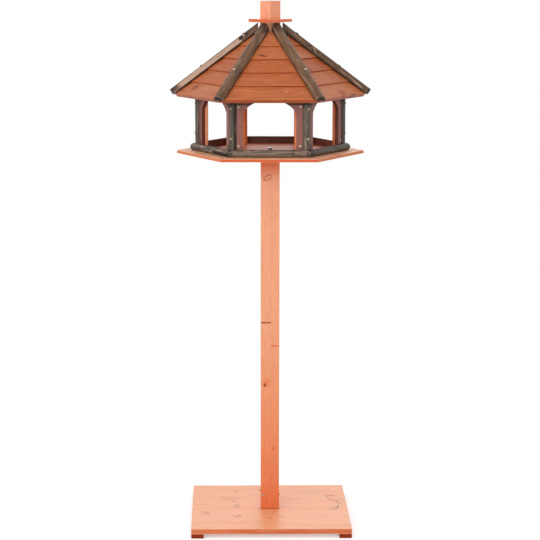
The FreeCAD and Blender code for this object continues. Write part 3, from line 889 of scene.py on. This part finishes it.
def roof_slats():
    fall = SLAT_TAPER / SLAT_EXPOSURE
    place = laid(pitch_point(0, 0), Y, PANEL_NORMAL)
    draw = random.Random(7)
    for k in range(6):
        piece = Piece("roof_slats_" + PANELS[k], roof_wood, "roof_pine")
        for n in range(SLAT_COUNT):
            start = n * SLAT_EXPOSURE
            end = min(SLAT_TOP, start + SLAT_EXPOSURE + SLAT_LAP)
            rebate = start + SLAT_LAP + FIT_GAP
            outline = [(start, 0), (end, -fall * (end - start)), (end, -SLAT_EDGE)]
            if n == 0:
                outline += [(start, -SLAT_EDGE)]
            else:
                outline += [(rebate, -SLAT_EDGE), (rebate, -fall * (rebate - start) - SLAT_TAPER + FIT_GAP),
                            (start, -SLAT_TAPER + FIT_GAP)]
            board = prism([(-EAVE_RADIUS, y, z) for y, z in outline], (2 * EAVE_RADIUS, 0, 0))
            arris = [e for e in board.edges if all(abs(v.co.y - start) + abs(v.co.z) < 1e-6 for v in e.verts)]
            # The rounded lap edges above the first take the pale rubbed colour: a painted highlight where
            # they catch the light.
            rounded(board, arris, SLAT_ARRIS, 3, kind=WEAR_AND_HIGHLIGHT if n else PLAIN)
            mitred(board, place)
            for side in (-1, 1):
                lean = aside(side)
                sawn(board, place, lean @ hip_point(EAVE_RADIUS, -SLAT_TAPER), lean @ HIP_NORMAL)
                if n == 0:
                    corner = (lean @ Y * side + DOWN_SLOPE).normalized()
                    sawn(board, place, lean @ hip_point(EAVE_RADIUS, 0) - corner * EAVE_CUT, corner)
            depth = draw.uniform(-0.3, 0.3)
            piece.add(eased(board, 0.6), panel_turn(k) @ place, slat_seed(k, n),
                      FRONT_STAINS[n] if PANELS[k] == "front" else depth, 0.7)
        piece.finish_up()


def hip_rafters():
    piece = Piece("hip_rafters", frame_wood, "frame_pine")
    drop = RAFTER_DROP * HIP_COS
    place = laid(hip_point(RAFTER_TAIL, 0), HIP_UP, HIP_NORMAL)
    for k in range(6):
        board = bar(-2 * RAFTER_DEPTH, RAFTER_TAIL / HIP_COS, -RAFTER_WIDTH / 2, RAFTER_WIDTH / 2,
                    -drop, 0)
        for side in (-1, 1):
            sawn(board, place, aside(side) @ pitch_point(0, -SLAT_EDGE), aside(side) @ PANEL_NORMAL)
        sawn(board, place, X * RAFTER_TAIL, X)
        skew = 60 * k % 90 - 45
        face, reach = (X, KING_CORNER) if abs(skew) == 45 else (turn(-skew) @ X, KING_SIDE / 2)
        sawn(board, place, face * (reach + FIT_GAP), -face)
        piece.add(eased(board, 0.7), corner_turn(k) @ place, 110 + k, 0.3)
    piece.finish_up()


# The side logs as the photograph shows them: the left one planed pale, both with knots
RIDGE_PATCHES = {
    3: [(238, 2.3, 8, 0.6, 2.4, -1), (248, 2.1, 6, 0.5, -1.6, 0.6), (256, 2.4, 5, 0.5, 1.5, -0.4),
        (268, 2, 14, 0.3, 0.8, 0), (10, 2.2, 12, 0.8, 0.9, 0), (0, 2.4, 5, 3, 1.2, 0)],
    0: [(186, 0.55, 24, 0.4, -0.8, 0.4), (176, 0.6, 6, 0.3, 2.2, -0.8), (190, 0.35, 5, 0.3, 2, 0.4),
        (202, 0.7, 8, 0.2, 1.2, -0.3), (88, 0.4, 20, 0.14, -0.8, 0), (38, 0.3, 24, 0.16, -1, 0),
        (62, 0.5, 14, 0.12, -0.9, 0), (240, 0.6, 40, 0.1, -0.9, 0), (140, 0.4, 26, 0.12, -0.7, 0),
        (0, 0.8, 7, 3, 1.3, 0)],
    # The patch at 292 on each of the two front logs darkens its head under the cap plate: painted shadow.
    4: [(236, 1.8, 5, 0.25, 1, 0.3), (292, 1.57, 34, 4, 0.65, 0)],
    5: [(292, 1.57, 34, 4, 0.7, 0)]}
RIDGE_PLANED = {3: (20, 232, 2.46, 11.5)}
RIDGE_STAINS = (0.35, 0, 0.1, 0.1, 0.05, 0)


def ridge_logs():
    """Half logs planed to sit on the slats, a slat's taper below the line of the hip."""
    bed = SLAT_TAPER - JOINT_GAP
    centre = RIDGE_OFFSET + bed + JOINT_GAP
    place = laid(hip_point(RIDGE_FOOT, -bed), HIP_UP, HIP_NORMAL)

    def head(y, z):
        return (RIDGE_FOOT - RIDGE_HEAD + (z - bed) * HIP_SIN) / HIP_COS
    for k in range(6):
        patches, planed = RIDGE_PATCHES.get(k, ()), RIDGE_PLANED.get(k)
        log = half_log(RIDGE_RADIUS, centre, lambda y, z: 0, head, 20 + k, NO_FLOOR, patches, planed)
        single("ridge_log_" + CORNERS[k], ridge_wood, "dark_log", log, corner_turn(k) @ place, 120 + k,
               log_stain_and_shade(RIDGE_STAINS[k], patches, planed, centre))


def cap():
    face = turn(HOUSE_TURN + 45) @ X
    half = KING_SIDE / 2
    single("king_post", king_wood_painted_light, "post_pine", eased(bar(0, KING_LENGTH, -half, half, -half, half), 0.8),
           laid(UP * (PLATE_BOTTOM - KING_LENGTH), UP, face), 130)
    single("cap_plate", cap_wood, "cap_pine", eased(slab(PLATE_SIDE, PLATE_SIDE, -PLATE_THICK, 0), 1),
           laid(UP * PLATE_TOP, face, UP), 131, edges=0.9)
    single("cap_block", cap_wood, "cap_pine", eased(bar(0, BLOCK_HEIGHT, -half, half, -half, half), 1.2, 3),
           laid(UP * PLATE_TOP, UP, face), 132)


# Fasteners

RECESS_LENGTH, RECESS_WIDTH, RECESS_DEPTH = 4.4, 1.2, 1.1
BOLT_EASE, WASHER_EASE = 1, 0.3
LOG_SCREW_SINK, RIDGE_SCREW_SINK = 1.1725, 0.3


def lathe(profile, sides=28, capped=False):
    """A body turned round Z from (radius, height) points, or from a function of the angle that
    gives them. It is closed where a radius is nought, or by flat caps."""
    board = bmesh.new()
    angles = [2 * pi * n / sides for n in range(sides)]
    rows = []
    for row in zip(*(profile(angle) if callable(profile) else profile for angle in angles)):
        if row[0][0] == 0:
            rows.append([board.verts.new((0, 0, row[0][1]))] * sides)
        else:
            rows.append([board.verts.new((radius * cos(angle), radius * sin(angle), height))
                         for angle, (radius, height) in zip(angles, row)])
    for a, b in zip(rows, rows[1:]):
        joined(board, a, b)
    for row in (rows[0], rows[-1]) if capped else ():
        board.faces.new(row)
    return board


def carved(board, cutter):
    """The board less the cutter, by an exact boolean."""
    bodies = []
    for part in (board, cutter):
        mesh = bpy.data.meshes.new("carving")
        outward(part).to_mesh(mesh)
        part.free()
        bodies.append(linked("carving", mesh))
    tool = bodies[0].modifiers.new("cut", "BOOLEAN")
    tool.operation, tool.solver, tool.object = "DIFFERENCE", "EXACT", bodies[1]
    bpy.context.view_layer.update()
    result = bmesh.new()
    result.from_object(bodies[0], bpy.context.evaluated_depsgraph_get())
    for body in bodies:
        bpy.data.objects.remove(body)
    return result


def screw_mesh(length):
    """A pan-head wood screw with a cross recess, driven along its own -Z and seated at z = 0."""
    head, dome, shank, core = SCREW_HEAD / 2, SCREW_DOME, SCREW_SHANK / 2, SCREW_SHANK * 0.31
    profile = [(0, dome), (head * 0.45, dome * 0.97), (head * 0.72, dome * 0.84), (head * 0.9, dome * 0.58),
               (head * 0.98, dome * 0.3), (head, 0.12), (head * 0.98, 0), (shank, 0), (shank, -6),
               (core, -7), (core, -length + 4), (0, -length)]
    board = lathe(profile)
    for quarter in (0, 90):
        slot = slab(RECESS_LENGTH, RECESS_WIDTH, dome - RECESS_DEPTH, dome + 1)
        for v in slot.verts:
            if v.co.z < dome:
                v.co.x *= 0.45
                v.co.y *= 0.7
        slot.transform(turn(quarter))
        board = carved(board, slot)
    return board


def grime_and_shade(co):
    """Darker round the rim of a screw's head, and painted shade in its recess and down the shank."""
    reach = hypot(co.x, co.y)
    return 1 if co.z < -0.3 or reach > SCREW_HEAD * 0.475 or (reach < 1.1 and co.z < 1.2) else 0


def driven(seat, axis):
    """The place of a fastener with its head at the seat, facing along the axis."""
    return Matrix.Translation(seat) @ axis.to_track_quat("Z", "Y").to_matrix().to_4x4()


def screws(name, places, seed, dirt_and_shade):
    """Screws at (seat, axis, length), each turned a little differently, some darkened with dirt and painted
    shade.
    """
    piece = Piece(name, zinc_screw, "zinc_screw")
    draw = random.Random(seed)
    made = {length: screw_mesh(length) for _, _, length in places}
    for n, (seat, axis, length) in enumerate(places):
        more = dirt_and_shade.get(n, 0)
        piece.add(made[length].copy(), driven(seat, axis) @ turn(draw.uniform(0, 180)), n,
                  lambda co: grime_and_shade(co) + more)
    piece.finish_up(40)


def around(seats, axis, length, turning=turn, turns=range(6)):
    """Screws at (seat, axis, length), repeated at each turn."""
    return [(turning(k) @ Vector(seat), turning(k) @ axis, length) for k in turns for seat in seats]


# Darkening of screws that the photograph shows dull or in shade, by the number of the screw: dirt on the dull
# ones, painted shade on the shaded ones
WALL_DIRT_AND_SHADE = {
    12: 0.8, 13: 0.8, 14: 0.9, 15: 0.9, 20: 0.9, 21: 0.9, 22: 0.2, 23: 0.8, 24: 0.9, 25: 0.9,
    28: 0.4, 29: 0.4, 30: 0.9, 31: 0.9, 32: 0.5, 33: 0.45, 34: 0.1, 35: 0.25}
RIDGE_DIRT_AND_SHADE = {1: 0.8, 3: 0.5, 5: 0.5, 6: 0.6, 7: 0.8, 9: 0.85, 11: 0.7}
TOE_DIRT_AND_SHADE = {0: 0.15, 1: 0.7, 3: 0.95}


def all_screws():
    reach = WALL_RADIUS / 2 - BRACKET_SCREW_EDGE - LOG_RADIUS * TAN30
    wall = around([(WALL_SEAT, side * reach, TRAY_TOP + height) for side in (-1, 1)
                   for height in BRACKET_SCREW_HEIGHTS], X, WALL_SCREW, panel_turn)
    logs = around([(LOG_SEAT + LOG_RADIUS - LOG_SCREW_SINK, 0, TRAY_TOP + height)
                   for height in LOG_SCREW_HEIGHTS], X, LOG_SCREW, corner_turn)
    screws("wall_screws", wall + logs, 1, WALL_DIRT_AND_SHADE)
    crest = RIDGE_HEIGHT + JOINT_GAP
    ridge = around([hip_point(radius - crest * HIP_SIN, crest - RIDGE_SCREW_SINK)
                    for radius in RIDGE_SCREW_RADII], HIP_NORMAL, RIDGE_SCREW, corner_turn)
    screws("ridge_screws", ridge, 2, RIDGE_DIRT_AND_SHADE)
    rail = around([(RAIL_SEAT + RAIL_RADIUS / 2, side * RAIL_SCREW_SPACING / 2, TRAY_BOTTOM)
                   for side in (-1, 1)], -UP, RAIL_SCREW, panel_turn)
    batten = around([(BATTEN_NOSE - BATTEN_THICK / 2, 0, TRAY_BOTTOM)], -UP, BATTEN_SCREW, corner_turn)
    screws("tray_screws", rail + batten, 3, {})
    seat = (TOE_INSET - POST_SIDE / 2, -POST_SIDE / 2, BASE_TOP + TOE_HEIGHT)
    toes = around([seat], turn(TOE_ANGLE, "X") @ UP, TOE_SCREW, turns=(0, 90, 180, 270))
    screws("post_toe_screws", toes, 4, TOE_DIRT_AND_SHADE)
    feet = around([(side * FOOT_PLACE, end * FOOT_SCREW_REACH, FOOT_SCREW_SINK)
                   for side in (-1, 1) for end in (-1, 1)], -UP, FOOT_SCREW, turns=(0,))
    screws("foot_screws", feet, 5, {})


def bolt_mesh():
    """A hexagon bolt with a chamfered head, driven along its own -Z and seated at z = 0."""
    crown, shank = BOLT_CROWN / 2, BOLT_DIAMETER / 2

    def profile(angle):
        hexagon = BOLT_FLATS / 2 / cos((angle + pi / 6) % (pi / 3) - pi / 6)
        return [(crown, BOLT_HEAD), (hexagon, BOLT_HEAD - (hexagon - crown) * TAN30), (hexagon, 0),
                (shank, 0), (shank, BOLT_EASE - BOLT_LENGTH), (shank - BOLT_EASE, -BOLT_LENGTH)]
    return lathe(profile, 72, capped=True)


def washer_mesh():
    """A punched washer with a rounded outer edge and a clear hole."""
    rim, hole, ease, high = WASHER_DIAMETER / 2, BOLT_DIAMETER / 2 + FIT_GAP, WASHER_EASE, WASHER_THICK
    profile = [(hole, 0), (rim - ease, 0), (rim, ease), (rim, high - ease), (rim - ease, high),
               (hole + ease, high), (hole, high - ease), (hole, 0)]
    return lathe(profile, 48)


def bolts():
    bolt, washer = (Piece(name, zinc_bolt, "zinc_bolt") for name in ("post_bolts", "bolt_washers"))
    for seed, (seat, axis) in enumerate(((UP * TRAY_TOP, UP), (UP * FOOT_THICK, -UP))):
        # Edges at 0.8 brown the upright faces of the head: painted shade on its sides.
        bolt.add(bolt_mesh(), driven(seat + axis * WASHER_THICK, axis), seed, edges=0.8)
        washer.add(washer_mesh(), driven(seat, axis), seed + 4)
    bolt.finish_up(30)
    washer.finish_up(30)


base_board()
feet()
staves()
tray()
rails()
corner_battens()
corner_logs()
brackets()
roof_slats()
hip_rafters()
ridge_logs()
cap()
all_screws()
bolts()
frame["nodes"]["cap_peg"].data.materials[0] = frame_wood


# Floor, light and camera, in metres

FLOOR_RADIUS, FLOOR_SIDES, FLOOR_FADE = 9, 64, (0.8, 2.4)
FLOOR_GREYS, FLOOR_GLOW = ((0.8, 0.8, 0.8), (0.84, 0.84, 0.84)), 0.42
WHITE, SKY_LIGHT = (1, 1, 1, 1), 0.675
# Softboxes as (name, place, height of the point that they face, size, power)
SOFTBOXES = [
    ("side_softbox", (-4.2, -2.6, 2.3), 0.8, 2.2, 26), ("key_softbox", (-2.6, -4.2, 2.3), 0.8, 2.2, 50),
    ("front_softbox", (0.3, -4.9, 1.5), 1, 1.6, 14), ("top_softbox", (0, -2.6, 3.6), 0.8, 2.2, 18),
    ("back_softbox", (0.5, 3.4, 2.6), 0.8, 2.2, 20)]
EYE, EYE_DOWN, EYE_ROLL = (-0.1256, -4.8221, 1.5636), 10.09, -0.195


def floor():
    """A pale round floor that fades to white far from the object and is open from below."""
    mesh = bpy.data.meshes.new("studio_floor")
    rim = [turn(360 * k / FLOOR_SIDES) @ X * FLOOR_RADIUS for k in range(FLOOR_SIDES)]
    mesh.from_pydata(rim, [], [range(FLOOR_SIDES)])
    n = Nodes(bpy.data.materials.new("pale_floor"))
    n.tree.nodes.remove(n.shader)
    place = n.add("TexCoord").outputs["Object"]
    colour = n.mix(n.noise(place, (0.02, 0.02, 0.02), 2), *FLOOR_GREYS)
    seen = n.add("LightPath").outputs
    direct = n.most(seen["Is Camera Ray"], seen["Is Glossy Ray"])
    glow = n.first("Emission", {"Color": WHITE, "Strength": n.times(direct, FLOOR_GLOW)})
    lit = n.first("AddShader", {0: n.first("BsdfDiffuse", {"Color": colour}), 1: glow})
    far = n.times(n.step(n.length(place), *FLOOR_FADE), direct)
    top = n.first("MixShader", {0: far, 1: lit, 2: n.first("Emission", {"Color": WHITE, "Strength": 1})})
    below = n.add("NewGeometry").outputs["Backfacing"]
    clear = n.first("MixShader", {0: below, 1: top, 2: n.first("BsdfTransparent")})
    n.set(n.tree.nodes["Material Output"].inputs["Surface"], clear)
    mesh.materials.append(n.owner)
    linked("studio_floor", mesh)


def softbox(name, place, height, size, power):
    lamp = bpy.data.lights.new(name, "AREA")
    lamp.shape, lamp.size, lamp.energy = "DISK", size, power
    box = linked(name, lamp)
    box.location = place
    box.rotation_euler = (UP * height - Vector(place)).to_track_quat("-Z", "Y").to_euler()


def world():
    """White all round, at full strength where it is seen and at less where it lights."""
    n = Nodes(bpy.data.worlds.new("studio"), "Background")
    seen = n.add("LightPath").outputs
    shown = n.most(seen["Is Camera Ray"], n.most(seen["Is Glossy Ray"], seen["Is Transmission Ray"]))
    n.give("Color", WHITE)
    n.give("Strength", n.first("MapRange", {0: shown, 3: SKY_LIGHT, 4: 1}))
    scene.world = n.owner


def camera():
    """The photograph's viewpoint: a little left of the middle, above the tray, looking down."""
    lens = bpy.data.cameras.new("photo_camera")
    lens.sensor_width, lens.lens, lens.shift_x, lens.clip_end = 36, 118.3, 0.0843, 100
    eye = linked("photo_camera", lens)
    eye.matrix_world = Matrix.Translation(EYE) @ turn(90 - EYE_DOWN, "X") @ turn(EYE_ROLL)
    scene.camera = eye


floor()
for box in SOFTBOXES:
    softbox(*box)
world()
camera()
scene.view_settings.view_transform = "Standard"
